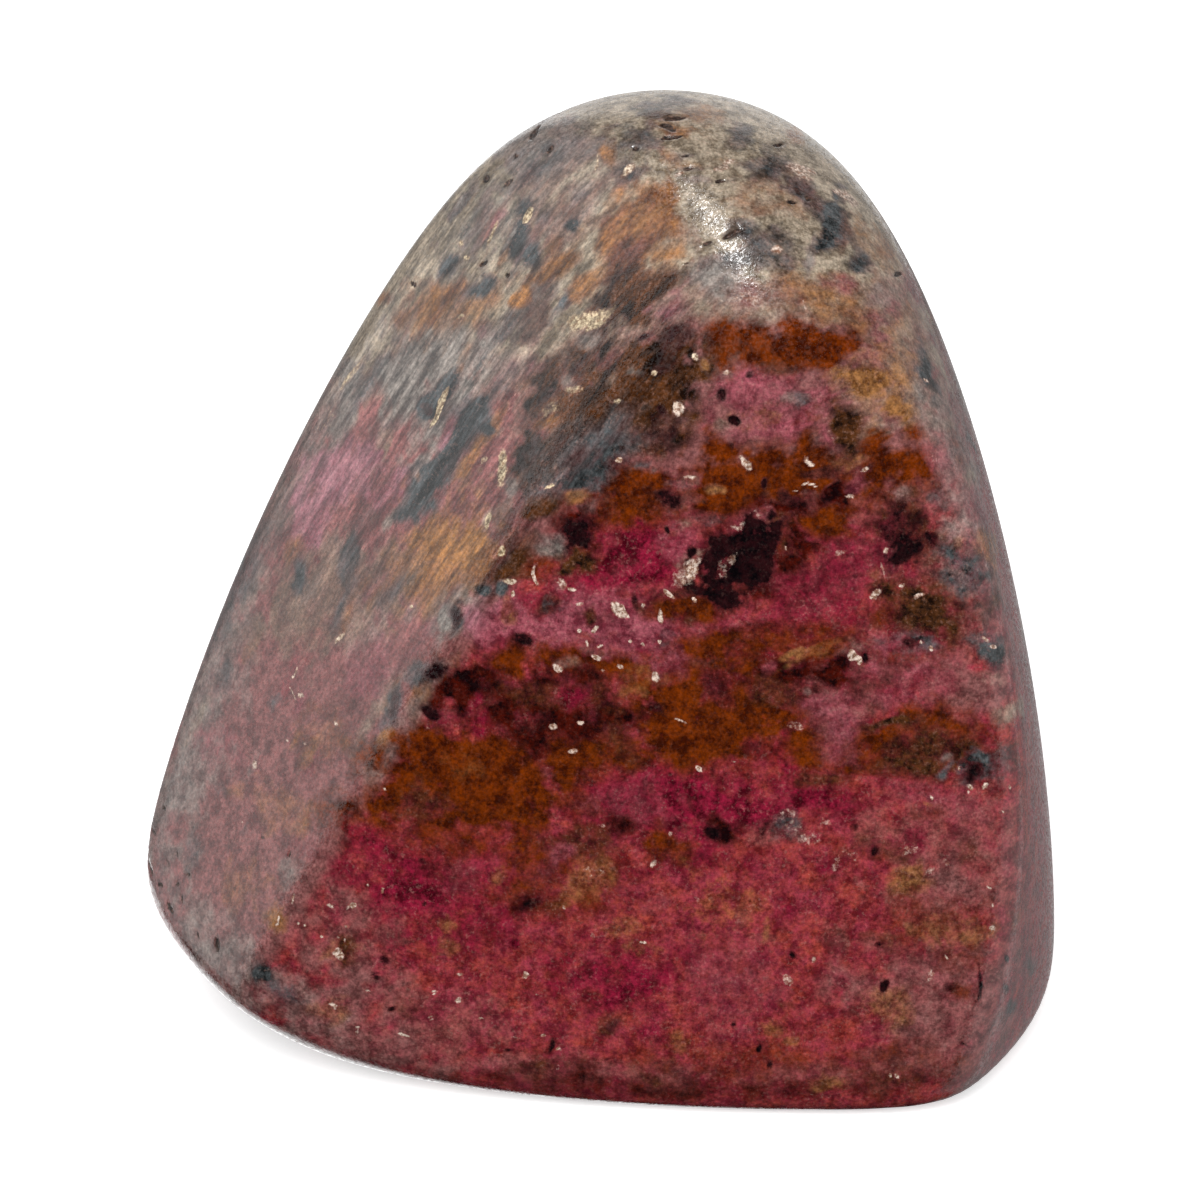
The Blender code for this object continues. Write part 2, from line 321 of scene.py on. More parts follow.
front_middle = [
    ("rust", [(600, 530, 660, 500, 22, 0.8), (760, 545, 800, 540, 14, 0.8), (800, 525, 850, 528, 13, 0.9)]),
    ("pink", [(785, 605, 878, 560, 32, 0.55)]),
    ("umber", [(850, 410, 850, 446, 11, 0.95), (556, 572, 604, 560, 15, 0.85),
               (496, 575, 530, 565, 14, 0.75), (770, 545, 800, 545, 10, 0.7)]),
    ("crimson", [(600, 580, 660, 535, 24, 1), (562, 590, 600, 580, 14, 0.75), (610, 560, 650, 548, 16, 0.8),
                 (768, 640, 870, 560, 44, 0.2), (860, 560, 760, 620, 30, 0.2)]),
    ("pink", [(656, 560, 700, 525, 20, 0.7), (590, 636, 690, 640, 30, 0.75), (556, 625, 610, 610, 24, 0.7),
              (484, 650, 500, 605, 26, 0.75), (600, 575, 645, 555, 10, 0.35),
              (628, 672, 700, 662, 20, 0.5)]),
    ("ochre", [(500, 610, 516, 606, 12, 0.35), (470, 548, 492, 560, 18, 0.5)]),
    ("slate", [(494, 588, 508, 588, 8, 0.8), (478, 592, 490, 588, 7, 0.7), (544, 598, 552, 602, 8, 0.5)]),
    ("black", [(692, 606, 772, 538, 27, 1), (700, 600, 745, 600, 14, 0.95), (738, 560, 782, 540, 14, 0.9),
               (687, 553, 698, 552, 7, 0.85), (630, 602, 640, 600, 5, 0.7), (648, 590, 658, 592, 5, 0.7),
               (516, 637, 538, 638, 7, 0.85), (664, 530, 670, 530, 4, 0.8)]),
    ("umber", [(636, 600, 700, 600, 10, 0.5), (536, 606, 560, 600, 9, 0.5), (586, 612, 596, 622, 6, 0.6)]),
    ("rust", [(598, 690, 690, 690, 9, 0.85), (590, 752, 650, 745, 16, 0.9), (600, 742, 800, 736, 24, 0.95),
              (640, 702, 730, 694, 14, 0.9), (700, 668, 790, 664, 11, 0.8), (650, 604, 720, 608, 10, 0.85),
              (494, 672, 536, 660, 16, 0.85), (690, 692, 720, 640, 10, 0.3)]),
    ("wine", [(702, 682, 735, 690, 15, 0.8), (506, 700, 560, 735, 32, 0.9), (524, 742, 548, 736, 18, 0.95),
              (576, 712, 640, 716, 18, 0.95), (566, 735, 600, 722, 14, 0.9), (744, 682, 800, 676, 14, 0.95),
              (820, 676, 850, 668, 12, 0.9)]),
    ("black", [(520, 715, 545, 735, 12, 0.5), (580, 716, 600, 714, 9, 0.5), (645, 704, 660, 704, 6, 0.6),
               (702, 684, 730, 690, 14, 0.55), (476, 690, 500, 688, 7, 0.5), (794, 690, 820, 690, 12, 0.65),
               (496, 734, 512, 736, 7, 0.5), (425, 700, 405, 712, 7, 0.4)]),
    ("umber", [(600, 740, 640, 745, 18, 0.5), (500, 690, 620, 700, 14, 0.4),
               (740, 690, 800, 694, 12, 0.6)]),
    ("crimson", [(464, 735, 496, 718, 14, 0.9), (560, 704, 590, 690, 15, 0.85),
                 (470, 702, 486, 706, 8, 0.8), (752, 760, 790, 740, 20, 0.6),
                 (780, 730, 790, 735, 8, 0.6)]),
    ("ochre", [(610, 692, 660, 690, 7, 0.2), (790, 656, 834, 644, 5, 0.6), (778, 658, 796, 654, 4, 0.6),
               (440, 765, 480, 770, 12, 0.4)]),
    ("rust", [(808, 652, 850, 642, 9, 0.8), (872, 622, 900, 606, 12, 0.7), (735, 670, 760, 672, 7, 0.6)]),
    ("pink", [(826, 740, 850, 700, 26, 0.75), (860, 650, 940, 660, 24, 0.4), (760, 668, 775, 664, 6, 0.6),
              (846, 765, 830, 740, 16, 0.6)]),
    ("umber", [(890, 615, 960, 615, 20, 0.65), (862, 590, 900, 585, 9, 0.6), (860, 725, 900, 724, 5, 0.8),
               (900, 758, 980, 762, 20, 0.4)]),
    ("slate", [(950, 545, 974, 590, 18, 0.7), (980, 640, 996, 668, 11, 0.85), (912, 642, 942, 640, 7, 0.75),
               (955, 768, 985, 772, 15, 0.85), (940, 770, 950, 776, 10, 0.7),
               (985, 740, 1010, 785, 14, 0.4)]),
    ("black", [(902, 640, 910, 645, 5, 0.7), (962, 774, 978, 776, 9, 0.8), (862, 656, 867, 662, 4, 0.8),
               (850, 575, 866, 575, 5, 0.6), (738, 632, 760, 640, 9, 0.35)]),
    ("mauve", [(960, 692, 1004, 690, 18, 0.8)]),
    ("ash", [(944, 560, 972, 585, 6, 0.4), (940, 757, 954, 757, 5, 0.6), (804, 693, 812, 691, 3, 0.5)]),
    ("cream", [(668, 580, 706, 560, 12, 0.65), (684, 576, 700, 568, 7, 0.9), (706, 584, 738, 548, 4, 0.5),
               (662, 589, 675, 598, 2.6, 1), (693, 595, 697, 603, 2.4, 1), (610, 611, 626, 614, 8, 0.95),
               (622, 606, 629, 620, 2.5, 0.8), (659, 610, 661, 626, 3.5, 0.95),
               (654, 642, 664, 642, 3, 0.85), (627, 644, 634, 640, 2.2, 1), (639, 643, 645, 646, 2, 0.9),
               (597, 626, 592, 634, 2.6, 1), (588, 640, 585, 646, 1.6, 0.8), (596, 648, 604, 645, 1.8, 0.8),
               (591, 654, 602, 660, 3.5, 1), (618, 667, 623, 667, 2.8, 1), (600, 671, 605, 670, 2.4, 0.8),
               (551, 665, 565, 671, 4.5, 1), (651, 672, 660, 682, 6, 0.9), (577, 630, 582, 631, 2.4, 1),
               (577, 605, 583, 604, 2.4, 0.8), (566, 588, 577, 590, 2.4, 0.9), (530, 565, 536, 588, 3, 0.9),
               (502, 578, 520, 586, 4, 0.9), (510, 593, 516, 594, 3, 1), (556, 582, 568, 586, 6, 0.65),
               (550, 726, 557, 726, 4, 0.85), (578, 721, 583, 724, 2.6, 0.9),
               (570, 751, 577, 752, 1.8, 0.9), (697, 771, 703, 769, 2.4, 1), (731, 761, 738, 763, 2, 0.8),
               (672, 720, 688, 722, 1.8, 0.7), (542, 768, 556, 768, 3, 0.5), (848, 653, 856, 656, 5.5, 1),
               (856, 658, 864, 662, 4, 1), (785, 722, 800, 728, 5, 0.6), (865, 598, 882, 592, 4, 0.8),
               (880, 562, 886, 578, 3, 0.7), (898, 588, 906, 582, 2.4, 0.8), (912, 598, 926, 594, 2.6, 0.7),
               (928, 648, 935, 650, 2.6, 1), (918, 643, 922, 641, 2, 0.9), (982, 636, 988, 643, 2, 0.9),
               (992, 648, 996, 644, 2, 0.9), (956, 768, 960, 770, 2.2, 1), (968, 785, 974, 789, 2.4, 1),
               (982, 788, 988, 784, 2, 0.9), (1008, 790, 1012, 786, 1.8, 0.9), (966, 792, 972, 792, 2, 0.8),
               (424, 728, 430, 726, 3, 0.7), (427, 740, 433, 742, 2.4, 1), (640, 606, 645, 604, 2, 0.8),
               (784, 546, 788, 551, 3, 0.8), (836, 550, 846, 553, 2.5, 0.5), (884, 552, 889, 549, 3, 0.8)]),
]
lower_front = [
    ("rust", [(380, 770, 560, 790, 40, 0.8), (560, 830, 500, 880, 20, 0.6),
              (640, 850, 690, 850, 16, 0.75)]),
    ("umber", [(385, 805, 440, 800, 18, 0.6), (540, 840, 620, 850, 16, 0.55),
               (770, 780, 850, 775, 7, 0.6)]),
    ("crimson", [(345, 830, 400, 850, 16, 0.6), (400, 900, 440, 860, 26, 0.6),
                 (790, 800, 860, 800, 14, 0.8), (770, 800, 790, 760, 14, 0.6),
                 (624, 950, 650, 952, 12, 0.7), (630, 986, 680, 984, 14, 0.7),
                 (600, 1000, 640, 995, 10, 0.4), (380, 930, 410, 945, 14, 0.5),
                 (510, 942, 520, 948, 7, 0.8), (770, 905, 790, 915, 12, 0.5), (900, 835, 930, 840, 12, 0.5),
                 (640, 1020, 660, 1032, 8, 0.5)]),
    ("pink", [(590, 800, 680, 800, 20, 0.5), (548, 856, 574, 856, 12, 0.7), (880, 790, 990, 810, 26, 0.35),
              (700, 1000, 760, 960, 40, 0.3), (520, 880, 560, 870, 12, 0.4),
              (440, 880, 480, 870, 14, 0.35)]),
    ("ochre", [(550, 900, 610, 862, 13, 0.4), (440, 918, 455, 926, 9, 0.6), (440, 950, 460, 940, 8, 0.45),
               (895, 880, 930, 880, 12, 0.6), (865, 1012, 900, 1006, 18, 0.4),
               (765, 1028, 785, 1032, 10, 0.5), (785, 1042, 800, 1042, 6, 0.4),
               (810, 1082, 845, 1080, 7, 0.5), (668, 1045, 688, 1045, 9, 0.4),
               (905, 930, 1000, 925, 14, 0.3), (320, 1018, 350, 1012, 12, 0.35),
               (760, 930, 772, 930, 14, 0.4), (495, 870, 505, 880, 12, 0.45), (600, 930, 640, 925, 9, 0.3),
               (700, 870, 760, 930, 30, 0.12)]),
    ("umber", [(336, 944, 356, 948, 10, 0.75), (396, 1010, 420, 1014, 9, 0.45),
               (520, 1072, 560, 1074, 8, 0.5), (640, 1078, 660, 1082, 6, 0.5),
               # The first umber mark here, at the foot's right end, carries on the painted shade along the
               # bottom edge.
               (870, 1086, 940, 1084, 7, 0.5), (600, 1020, 616, 1030, 10, 0.5),
               (840, 850, 900, 856, 12, 0.35), (960, 860, 980, 850, 10, 0.4)]),
    ("slate", [(778, 812, 796, 818, 8, 0.35), (764, 826, 796, 832, 8, 0.5),
               (1005, 1008, 1016, 1008, 7, 0.7), (1020, 960, 1040, 970, 9, 0.5),
               (610, 1022, 618, 1028, 5, 0.5)]),
    ("wine", [(700, 826, 742, 846, 11, 0.9), (606, 828, 634, 828, 9, 0.6), (508, 908, 556, 896, 9, 0.6)]),
    ("black", [(706, 830, 722, 842, 8, 0.85), (520, 906, 548, 897, 5, 0.65), (847, 828, 857, 827, 4.5, 0.7),
               (871, 853, 878, 852, 4, 0.75), (758, 829, 768, 830, 6, 0.7), (876, 944, 880, 947, 3.5, 0.9),
               (886, 980, 881, 992, 3, 1), (981, 964, 980, 1000, 2, 0.85), (551, 1040, 553, 1058, 3, 0.95),
               (605, 1020, 612, 1030, 4, 0.45), (790, 954, 793, 956, 2.6, 0.8),
               (757, 1048, 761, 1052, 3.5, 0.85), (766, 1064, 773, 1068, 3.5, 0.8),
               (960, 1042, 966, 1046, 3, 0.8), (731, 1023, 736, 1026, 3, 0.8),
               (392, 1006, 396, 1010, 3.5, 0.9), (382, 958, 390, 962, 4, 0.7),
               (372, 974, 378, 976, 3.5, 0.8), (607, 1056, 609, 1060, 3, 0.8),
               (420, 860, 426, 862, 2.6, 0.7), (423, 903, 427, 904, 2.6, 0.8),
               (1005, 957, 1010, 959, 3, 0.8), (1006, 986, 1010, 988, 3, 0.7),
               (748, 1022, 752, 1030, 4, 0.5), (782, 1018, 788, 1024, 4, 0.5),
               # The long thin black mark at the very bottom is painted shade along the rounded bottom edge.
               (504, 1048, 510, 1050, 3, 0.8), (940, 990, 960, 986, 4, 0.5), (740, 1090, 860, 1094, 5, 0.5),
               (830, 876, 838, 880, 5, 0.6)]),
    ("cream", [(802, 838, 834, 824, 11, 0.5), (796, 812, 780, 812, 5, 0.5), (786, 822, 794, 824, 4, 0.5),
               (844, 850, 872, 864, 10, 0.45), (832, 862, 840, 870, 6, 0.6), (576, 868, 600, 866, 7, 0.5),
               (900, 850, 925, 848, 5, 0.5), (940, 862, 952, 862, 4, 0.6), (925, 872, 940, 868, 5, 0.5),
               (332, 952, 343, 956, 4, 1), (352, 901, 355, 908, 2, 1), (363, 988, 370, 992, 1.8, 0.9),
               (430, 990, 436, 994, 1.8, 0.9), (455, 1000, 461, 1003, 1.8, 0.9),
               (330, 1004, 336, 1008, 1.8, 0.9), (352, 1026, 360, 1030, 1.8, 0.9),
               (400, 1034, 408, 1037, 1.8, 0.9), (365, 884, 370, 888, 1.8, 0.9),
               (327, 904, 331, 908, 1.8, 0.9), (296, 922, 300, 925, 1.8, 0.9),
               (380, 890, 384, 893, 1.6, 0.9), (428, 1014, 434, 1018, 1.8, 0.9),
               (303, 924, 308, 926, 2.2, 1), (318, 936, 324, 936, 2.4, 0.9), (342, 939, 346, 940, 2.4, 0.9),
               (334, 937, 340, 936, 2.6, 0.7), (344, 925, 348, 928, 2.2, 0.9),
               (275, 925, 280, 918, 2.2, 0.9), (290, 900, 296, 894, 2.6, 0.8), (457, 976, 463, 974, 3, 0.9),
               (521, 980, 529, 972, 4, 0.75), (588, 934, 598, 938, 5, 0.6), (648, 866, 658, 860, 4, 0.75),
               (812, 960, 818, 960, 4, 0.8), (784, 976, 790, 986, 5, 0.65), (987, 927, 996, 928, 2.2, 1),
               (990, 906, 996, 904, 2, 0.9), (1001, 812, 1005, 812, 2.2, 0.9), (927, 799, 934, 798, 3, 0.8),
               (985, 886, 990, 888, 2, 0.9), (924, 978, 936, 972, 4, 0.6), (944, 957, 948, 957, 2, 1),
               (895, 1075, 900, 1078, 2.4, 1), (888, 1076, 892, 1075, 2, 0.9),
               (556, 1047, 559, 1050, 2.2, 1), (480, 1016, 483, 1020, 2.4, 0.9),
               (510, 1034, 520, 1038, 4, 0.6), (542, 1035, 546, 1035, 2.4, 0.9),
               (640, 942, 646, 942, 2.4, 0.9), (562, 906, 566, 912, 2, 0.8), (668, 832, 674, 834, 4, 0.6),
               (598, 826, 608, 826, 2.4, 0.5), (556, 1065, 566, 1065, 2.6, 0.5),
               (692, 898, 702, 898, 3, 0.5), (534, 992, 540, 996, 2, 0.7), (386, 790, 382, 788, 2, 0.9)]),
]
mineral_patches = whole_stone + crown + left_face + front_top + front_middle + lower_front
minerals = ("pink", "crimson", "mauve", "drab", "ash", "rust", "wine", "ochre", "umber", "slate", "black",
            "cream", "pit")
fine_patch = 6.5


def patch_frame(x1, y1, x2, y2, half_width):
    """The centre of a patch on the stone, and the matrix to its own round measure."""
    centre_x = (x1 + x2) / 2
    centre_y = (y1 + y2) / 2
    place = seen_at(centre_x, centre_y)
    out = facing(place[None, :])[0]
    length = math.hypot(x2 - x1, y2 - y1) / 2
    across = ((y2 - y1) / 2 * half_width / length, (x1 - x2) / 2 * half_width / length)
    axes = []
    for x, y in ((x2, y2), (centre_x + across[0], centre_y + across[1])):
        line = sight_line(x, y)
        end = camera_place + line * ((place - camera_place) @ out / (line @ out))
        axis = end - place
        plain = camera_distance * sensor_width / lens_length / picture_width
        plain = plain * math.hypot(x - centre_x, y - centre_y)
        axes.append(axis * min(1, 3 * plain / np.linalg.norm(axis)))
    depth = 0.8 * max(np.linalg.norm(axes[0]), np.linalg.norm(axes[1])) + 0.6
    return place, np.linalg.inv(np.array((axes[0], axes[1], out * depth)).T)


patch_frames = []
for mineral, rows in mineral_patches:
    for x1, y1, x2, y2, half_width, strength in rows:
        place, measure = patch_frame(x1, y1, x2, y2, half_width)
        fine = min(half_width, math.hypot(x2 - x1, y2 - y1) / 2) < fine_patch
        patch_frames.append((mineral, place, measure, strength, fine))

# The mesh of the body: a cube of small squares drawn out to the surface, closer together
# towards the camera and closer still round each fleck and pit.
grid = 102
fine_cuts = 2
lean = 0.32
fine_reach = 3
block = bmesh.new()
bmesh.ops.create_cube(block, size=2)
bmesh.ops.subdivide_edges(block, edges=block.edges, cuts=grid - 1, use_grid_fill=True)


def drawn_out(directions):
    """The places on the surface in the given directions from the core."""
    skin = surface_between(np.tile(core, (len(directions), 1)), core + directions * reach)
    skin[:, 2] = np.maximum(skin[:, 2], 0)
    return skin


directions = np.tan(np.array([vert.co[:] for vert in block.verts]) * math.pi / 4)
directions /= np.linalg.norm(directions, axis=1)[:, None]
directions -= sight * lean
directions /= np.linalg.norm(directions, axis=1)[:, None]
for vert, place in zip(block.verts, drawn_out(directions)):
    vert.co = place
block.faces.ensure_lookup_table()
middles = np.array([face.calc_center_median()[:] for face in block.faces])
crowded = np.zeros(len(middles), bool)
for mineral, place, measure, strength, fine in patch_frames:
    if fine:
        near = np.flatnonzero(((middles - place) ** 2).sum(axis=1) < fine_reach ** 2)
        span = np.linalg.norm((middles[near] - place) @ measure.T, axis=1)
        size = 1 / np.abs(np.linalg.svd(measure, compute_uv=False)[0])
        crowded[near] |= span < 1.2 + 0.25 / size
crowded_edges = {edge for index in np.flatnonzero(crowded) for edge in block.faces[index].edges}
bmesh.ops.subdivide_edges(block, edges=list(crowded_edges), cuts=fine_cuts, use_grid_fill=True)
directions = np.array([vert.co[:] for vert in block.verts]) - core
directions /= np.linalg.norm(directions, axis=1)[:, None]
skin = drawn_out(directions)
normals = facing(skin)


def swirl(places, size, shift):
    """Soft random values, from about -1 to 1, in lumps of the given size."""
    return np.array([noise.noise(Vector(place)) for place in places / size + shift])


ragged = 0.5 * swirl(skin, 2.6, 3.1) + 0.35 * swirl(skin, 1.1, 17.3) + 0.25 * swirl(skin, 0.5, 41.7)
twist = np.stack([0.9 * swirl(skin, 4, 7.7 * axis) + 0.35 * swirl(skin, 1.4, 60 + 9 * axis)
                  for axis in range(3)])
twisted = (skin.T + twist).astype(np.float32)


def spans_from(place, measure):
    """How far every vertex lies from a patch's centre, in the patch's own measure."""
    nearest = int(((skin - place) ** 2).sum(axis=1).argmin())
    offsets = twisted - twisted[:, nearest][:, None]
    return np.sqrt(((measure.astype(np.float32) @ offsets) ** 2).sum(axis=0))


# The rock under the patches: drab over the top, mauve host rock on the left face and above
# the shoulder, and rose below. The paler, greyer top and left face are partly the rock and
# partly painted sheen of the light that falls there. The hidden sides carry it on with
# patches of the same minerals, scattered by a fixed draw.
cap_height = 58.5
host_and_sheen_height = 44
host_and_sheen_fade = 8
drawn_height = 26
drawn_fade = 14
around_left, tilt_left = ground_flats["left"][:2]
amounts = {mineral: np.zeros(len(skin)) for mineral in minerals}
# The drab cap follows height alone: partly the rock, partly painted sheen on the top.
cap_foot = cap_height - 0.45 * np.clip(6 - skin[:, 0], 0, 30) + 3 * ragged
amounts["drab"] = np.clip((skin[:, 2] - cap_foot) / 4 + 0.5, 0, 1)
# The left face, picked by which way it faces, gets the greyer host colour: partly painted sheen from the
# light on that side.
left_wise = np.clip((normals @ heading(around_left, tilt_left) - 0.85) / 0.1, 0, 1)
host_and_sheen = np.maximum(left_wise, np.clip((skin[:, 2] - host_and_sheen_height) / host_and_sheen_fade, 0, 1))
amounts["mauve"] = (1 - amounts["drab"]) * host_and_sheen


patch_end = 1.45
patch_fade = 0.9
raggedness = 1.5
narrowed = {"cream": 1.25, "pit": 1.35}
faded = {"cream": 2, "black": 1.5}


def lay_patch(mineral, place, measure, strength, where=1.0):
    """Covers what lies under a patch with its mineral; rose, the rock's own colour, only clears it."""
    near = spans_from(place, measure) * narrowed.get(mineral, 1)
    size = 1 / np.abs(np.linalg.svd(measure, compute_uv=False)[0])
    near += raggedness * ragged * min(1, 0.3 + size / 2)
    cover = np.clip((patch_end - near) / patch_fade, 0, 1)
    cover = strength ** faded.get(mineral, 1) * cover * cover * (3 - 2 * cover) * where
    if mineral == "pit":
        amounts["pit"] = np.maximum(amounts["pit"], cover)
        return
    for other in minerals:
        if other != "pit":
            amounts[other] *= 1 - cover
    if mineral in amounts:
        amounts[mineral] += cover


to_camera = (camera_place - skin) / np.linalg.norm(camera_place - skin, axis=1)[:, None]
hidden = np.clip(0.5 - (normals * to_camera).sum(axis=1) * 4, 0, 1)
streak = np.array((0.545, 0.124, 0.873))
draw = np.random.default_rng(11)
upper_mix = (("drab", 0.26), ("ash", 0.2), ("slate", 0.22), ("ochre", 0.12), ("umber", 0.06), ("pink", 0.08),
             ("black", 0.02), ("cream", 0.04))
lower_mix = (("pink", 0.24), ("crimson", 0.2), ("rust", 0.14), ("umber", 0.08), ("ochre", 0.06),
             ("wine", 0.12), ("mauve", 0.12), ("black", 0.02), ("cream", 0.02))


def scatter(size, count, least, most, where):
    """Lays so many small patches at random, of what is common at that height."""
    open_places = np.flatnonzero(where > 0.05)
    for _ in range(count):
        index = int(draw.choice(open_places))
        place = skin[index]
        upper = draw.random() < (place[2] - 26) / 26 + left_wise[index] * 0.5
        mix = upper_mix if upper else lower_mix
        mineral = str(draw.choice([name for name, share in mix], p=[share for name, share in mix]))
        if (mineral == "black" and size > 2) or (mineral == "cream" and size > 1):
            mineral = "rose"
        out = normals[index]
        along = streak if left_wise[index] > 0.5 else np.cross(out, (0, 0.25, 1))
        along = along - out * (along @ out)
        along /= np.linalg.norm(along)
        radius = size * draw.uniform(0.6, 1.4)
        stretch = 1.7 + left_wise[index]
        axes = np.array((along * radius * stretch, np.cross(out, along) * radius * 0.7, out * radius)).T
        lay_patch(mineral, place, np.linalg.inv(axes), draw.uniform(least, most), where)


for size, count in ((7.0, 60), (3.5, 160), (1.2, 260), (0.45, 260)):
    scatter(size, count, 0.5, 1, hidden)
broad_patches = sum(len(rows) for mineral, rows in whole_stone)
for mineral, place, measure, strength, fine in patch_frames[:broad_patches]:
    lay_patch(mineral, place, measure, strength)
for size, count in ((1.0, 110), (0.55, 260)):
    scatter(size, count, 0.2, 0.6, 1 - hidden)
for mineral, place, measure, strength, fine in patch_frames[broad_patches:]:
    lay_patch(mineral, place, measure, strength)

# The open pits are sunk into the polished surface, and the finished mesh takes every
# mineral's amount as a layer of its own, with where the rock is host, partly painted sheen,
# and where it is drawn.
pit_depth = 0.16
skin -= normals * (amounts["pit"] * pit_depth)[:, None]
skin[:, 2] = np.maximum(skin[:, 2], 0)
for vert, place in zip(block.verts, skin):
    vert.co = place * MM
bmesh.ops.recalc_face_normals(block, faces=block.faces)
for face in block.faces:
    face.smooth = True
mesh = bpy.data.meshes.new("rhodonite_body")
block.to_mesh(mesh)
block.free()
stone = bpy.data.objects.new("rhodonite_body", mesh)
bpy.context.scene.collection.objects.link(stone)
amounts["host_and_sheen"] = host_and_sheen
amounts["drawn"] = left_wise * np.clip((skin[:, 2] - drawn_height) / drawn_fade, 0, 1)
for name, amount in amounts.items():
    layer = mesh.attributes.new(name, "FLOAT", "POINT")
    layer.data.foreach_set("value", amount.astype(np.float32))


def new_group(name, inputs, outputs):
    """An empty node group with float inputs at their defaults, and named outputs."""
    group = bpy.data.node_groups.new(name, "ShaderNodeTree")
    for label, kind, value in inputs:
        socket = group.interface.new_socket(label, in_out="INPUT", socket_type=kind)
        if value is not None:
            socket.default_value = value
    for label, kind in outputs:
        group.interface.new_socket(label, in_out="OUTPUT", socket_type=kind)
    return group, group.nodes.new("NodeGroupInput").outputs, group.nodes.new("NodeGroupOutput").inputs


def sum_node(tree, operation, first, second=None, third=None, clamp=False):
    """A Math node on sockets or plain numbers."""
    node = tree.nodes.new("ShaderNodeMath")
    node.operation = operation
    node.use_clamp = clamp
    for slot, value in zip(node.inputs, (first, second, third)):
        if isinstance(value, bpy.types.NodeSocket):
            tree.links.new(value, slot)
        elif value is not None:
            slot.default_value = value
    return node.outputs["Value"]


def blend_colours(tree, amount, under, over):
    """A Mix node on two colours, each a socket or three numbers."""
    node = tree.nodes.new("ShaderNodeMix")
    node.data_type = "RGBA"
    for slot, value in zip((node.inputs["Factor"], node.inputs[6], node.inputs[7]), (amount, under, over)):
        if isinstance(value, bpy.types.NodeSocket):
            tree.links.new(value, slot)
        else:
            slot.default_value = value if isinstance(value, float) else (*value, 1)
    return node.outputs[2]


def spread_out(tree, value, low, high, to_low=0, to_high=1):
    """A Map Range node: values from low to high run between two new ends, and stop there."""
    node = tree.nodes.new("ShaderNodeMapRange")
    for label, number in (("From Min", low), ("From Max", high), ("To Min", to_low), ("To Max", to_high)):
        node.inputs[label].default_value = number
    tree.links.new(value, node.inputs["Value"])
    return node.outputs["Result"]


def noise_node(tree, place, scale, detail, rough):
    """A Noise Texture node."""
    node = tree.nodes.new("ShaderNodeTexNoise")
    node.inputs["Scale"].default_value = scale
    node.inputs["Detail"].default_value = detail
    node.inputs["Roughness"].default_value = rough
    tree.links.new(place, node.inputs["Vector"])
    return node


# A mineral ends in crumbs and not on a line: this group turns its soft amount into a
# crisp mask, broken up by a speckle.
crumbled, given, out = new_group(
    "crumbled_edge",
    (("Amount", "NodeSocketFloat", 0), ("Speckle", "NodeSocketFloat", 0.5), ("Spread", "NodeSocketFloat", 2),
     ("Softness", "NodeSocketFloat", 0.3)),
    (("Mask", "NodeSocketFloat"),))
shifted = sum_node(crumbled, "SUBTRACT", given["Speckle"], 0.5)
amount = sum_node(crumbled, "MULTIPLY_ADD", given["Amount"], 1.55, -0.62)
shifted = sum_node(crumbled, "MULTIPLY_ADD", shifted, given["Spread"], amount)
shifted = sum_node(crumbled, "DIVIDE", shifted, given["Softness"])
shifted = sum_node(crumbled, "ADD", shifted, 0.5, clamp=True)
gate = sum_node(crumbled, "MULTIPLY", given["Amount"], 12, clamp=True)
crumbled.links.new(sum_node(crumbled, "MULTIPLY", shifted, gate), out["Mask"])

# The polished rock: rose below and host rock above, paler there partly as painted sheen, the
# minerals laid over it one by one, pale salt and fine grain through all of it, strokes drawn
# along the left face, and a polish that changes from grain to grain.
stroke_stretch = 4.5
polished = bpy.data.materials.new("polished_rhodonite")
polished.use_nodes = True
tree = polished.node_tree
shader = tree.nodes["Principled BSDF"]
place = tree.nodes.new("ShaderNodeTexCoord").outputs["Object"]


def separated(colour):
    """The three channels of a colour, as unlike speckles."""
    node = tree.nodes.new("ShaderNodeSeparateColor")
    tree.links.new(colour, node.inputs[0])
    return node.outputs[0], node.outputs[1], node.outputs[2]


drawn_place = tree.nodes.new("ShaderNodeMapping")
drawn_place.vector_type = "TEXTURE"
drawn_place.inputs["Rotation"].default_value = Vector(streak).to_track_quat("X", "Z").to_euler()
drawn_place.inputs["Scale"].default_value = (stroke_stretch, 1, 1)
tree.links.new(place, drawn_place.inputs["Vector"])


def amount_of(name):
    """The value of one of the mesh's own layers."""
    node = tree.nodes.new("ShaderNodeAttribute")
    node.attribute_name = name
    return node.outputs["Fac"]


drawn = amount_of("drawn")
host_rock_and_sheen = amount_of("host_and_sheen")
even = noise_node(tree, place, 600, 5, 0.75).outputs["Color"]
long = noise_node(tree, drawn_place.outputs["Vector"], 700, 4, 0.75).outputs["Color"]
edge_a, edge_b, edge_c = separated(blend_colours(tree, drawn, even, long))
shade = noise_node(tree, place, 800, 4, 0.75).outputs["Color"]
tone_a, tone_b, tone_c = separated(blend_colours(tree, drawn, shade, long))
fine_a, fine_b, fine_c = separated(noise_node(tree, place, 3900, 2, 0.6).outputs["Color"])


def rgb(red, green, blue):
    """A colour given as it looks, from 0 to 255, in the numbers that light adds up in."""
    return tuple((value / 255 / 12.92) if value < 11 else ((value / 255 + 0.055) / 1.055) ** 2.4
                 for value in (red, green, blue))


def mottled(tone, dark, light):
    """A mineral's colour, running between its darkest and its lightest."""
    return blend_colours(tree, spread_out(tree, tone, 0.4, 0.6), rgb(*dark), rgb(*light))


